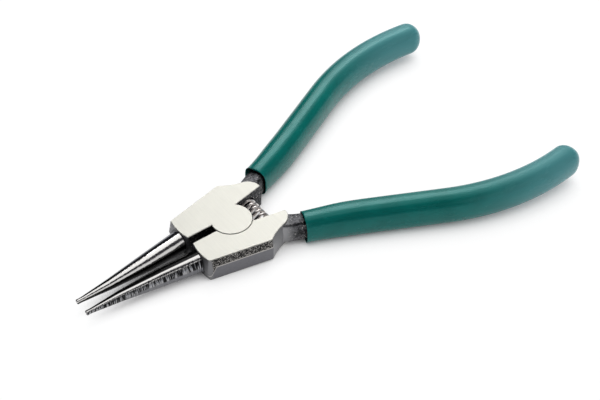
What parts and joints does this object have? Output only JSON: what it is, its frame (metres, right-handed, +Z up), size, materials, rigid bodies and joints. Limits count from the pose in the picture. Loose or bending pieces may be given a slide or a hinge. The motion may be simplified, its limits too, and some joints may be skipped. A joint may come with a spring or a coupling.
{
  "type": "retaining ring pliers",
  "caption": "Straight-tip circlip pliers for shafts: round tapered jaws that open when the sleeved handles are squeezed against a coil spring.",
  "frame": {"origin": "where the pivot axis meets the ground underside of the head", "axes": "+X from the jaw tips towards the handle ends, +Y across the tool towards lever A, +Z up along the pivot axis"},
  "size_m": [0.1817, 0.1026, 0.0126],
  "materials": {
    "forged_steel": "ground faces on dark forged sides",
    "spring_steel": "bright drawn wire",
    "sleeve_vinyl": "gloss"
  },
  "bodies": {
    "lever_a_side": {"lever_a": "forged_steel", "pivot_rivet": "forged_steel", "return_spring": "spring_steel", "grip_a": "sleeve_vinyl"},
    "lever_b_side": {"lever_b": "forged_steel", "grip_b": "sleeve_vinyl"}
  },
  "joints": [
    {"name": "pivot", "type": "hinge", "parent": "lever_a_side", "child": "lever_b_side", "pos_m": [0, 0, 0], "axis": [0, 0, 1], "range_deg": [-3.3, 30], "stiffness_Nm_per_rad": 0.4, "deforming": ["return_spring"]}
  ]
}
